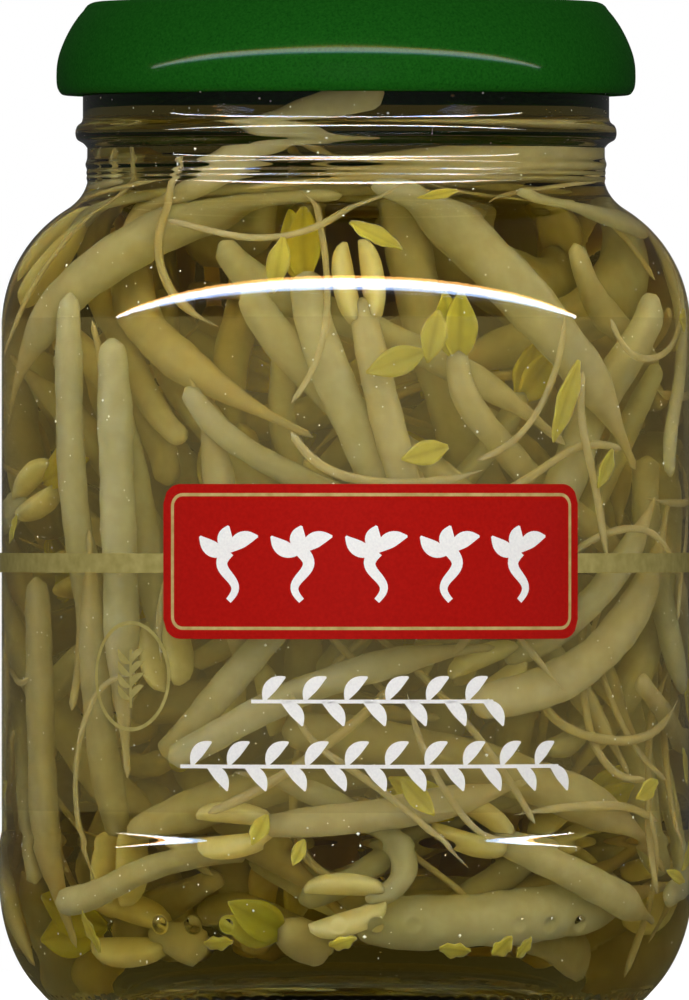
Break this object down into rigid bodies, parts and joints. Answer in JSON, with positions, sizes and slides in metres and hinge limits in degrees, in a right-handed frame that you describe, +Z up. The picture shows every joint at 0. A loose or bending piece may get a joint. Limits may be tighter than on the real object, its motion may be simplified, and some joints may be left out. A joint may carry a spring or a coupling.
{
  "type": "jar of bean sprouts",
  "caption": "Round glass jar with a twist-off metal lid, filled with bean sprouts in brine, and a clear wrap-round label with a red front patch.",
  "frame": {"origin": "centre of the jar's foot, on the surface it stands on", "axes": "+Z up along the jar's axis; the front label faces -Y"},
  "size_m": [0.0788, 0.0791, 0.1154],
  "materials": {
    "glass": "clear flint glass, polished",
    "lid_lacquer": "dark green lacquered tinplate, glossy",
    "liner": "cream sealing compound, smooth",
    "film": "clear label film",
    "label_red": "red printed film, satin",
    "brine": "clear olive-brown liquid",
    "sprout": "pale moist vegetable, semi-translucent"
  },
  "bodies": {
    "jar": {"glass_jar": "glass", "label_film": "film", "front_label": "label_red", "brine": "brine", "sprout_01": "sprout", "sprout_02": "sprout", "sprout_03": "sprout", "sprout_04": "sprout", "sprout_05": "sprout", "sprout_06": "sprout", "sprout_07": "sprout", "sprout_08": "sprout", "sprout_09": "sprout", "sprout_10": "sprout", "sprout_11": "sprout", "sprout_12": "sprout", "sprout_13": "sprout", "sprout_14": "sprout", "sprout_15": "sprout", "sprout_16": "sprout", "sprout_17": "sprout", "sprout_18": "sprout", "sprout_19": "sprout", "sprout_20": "sprout", "sprout_21": "sprout", "sprout_22": "sprout", "sprout_23": "sprout", "sprout_24": "sprout", "sprout_25": "sprout", "sprout_26": "sprout", "sprout_27": "sprout", "sprout_28": "sprout", "sprout_29": "sprout", "sprout_30": "sprout", "sprout_31": "sprout", "sprout_32": "sprout", "sprout_33": "sprout", "sprout_34": "sprout", "sprout_35": "sprout", "sprout_36": "sprout", "sprout_37": "sprout", "sprout_38": "sprout", "sprout_39": "sprout", "sprout_40": "sprout", "sprout_41": "sprout", "sprout_42": "sprout", "sprout_43": "sprout", "sprout_44": "sprout", "sprout_45": "sprout", "sprout_46": "sprout", "sprout_47": "sprout", "sprout_48": "sprout", "sprout_49": "sprout", "sprout_50": "sprout", "sprout_51": "sprout", "sprout_52": "sprout", "sprout_53": "sprout", "sprout_54": "sprout"},
    "liner": {"lid_liner": "liner"},
    "lid": {"lid_cap": "lid_lacquer"}
  },
  "joints": [
    {"name": "lid_rise", "type": "slide", "parent": "jar", "child": "liner", "axis": [0, 0, 1], "range_m": [0, 0.0022]},
    {"name": "lid_turn", "type": "hinge", "parent": "liner", "child": "lid", "pos_m": [0, 0, 0.11], "axis": [0, 0, 1], "range_deg": [0, 67.5]}
  ],
  "couplings": [
    {"joint": "lid_rise", "follows": "lid_turn", "m_per_rad": 0.001867}
  ]
}
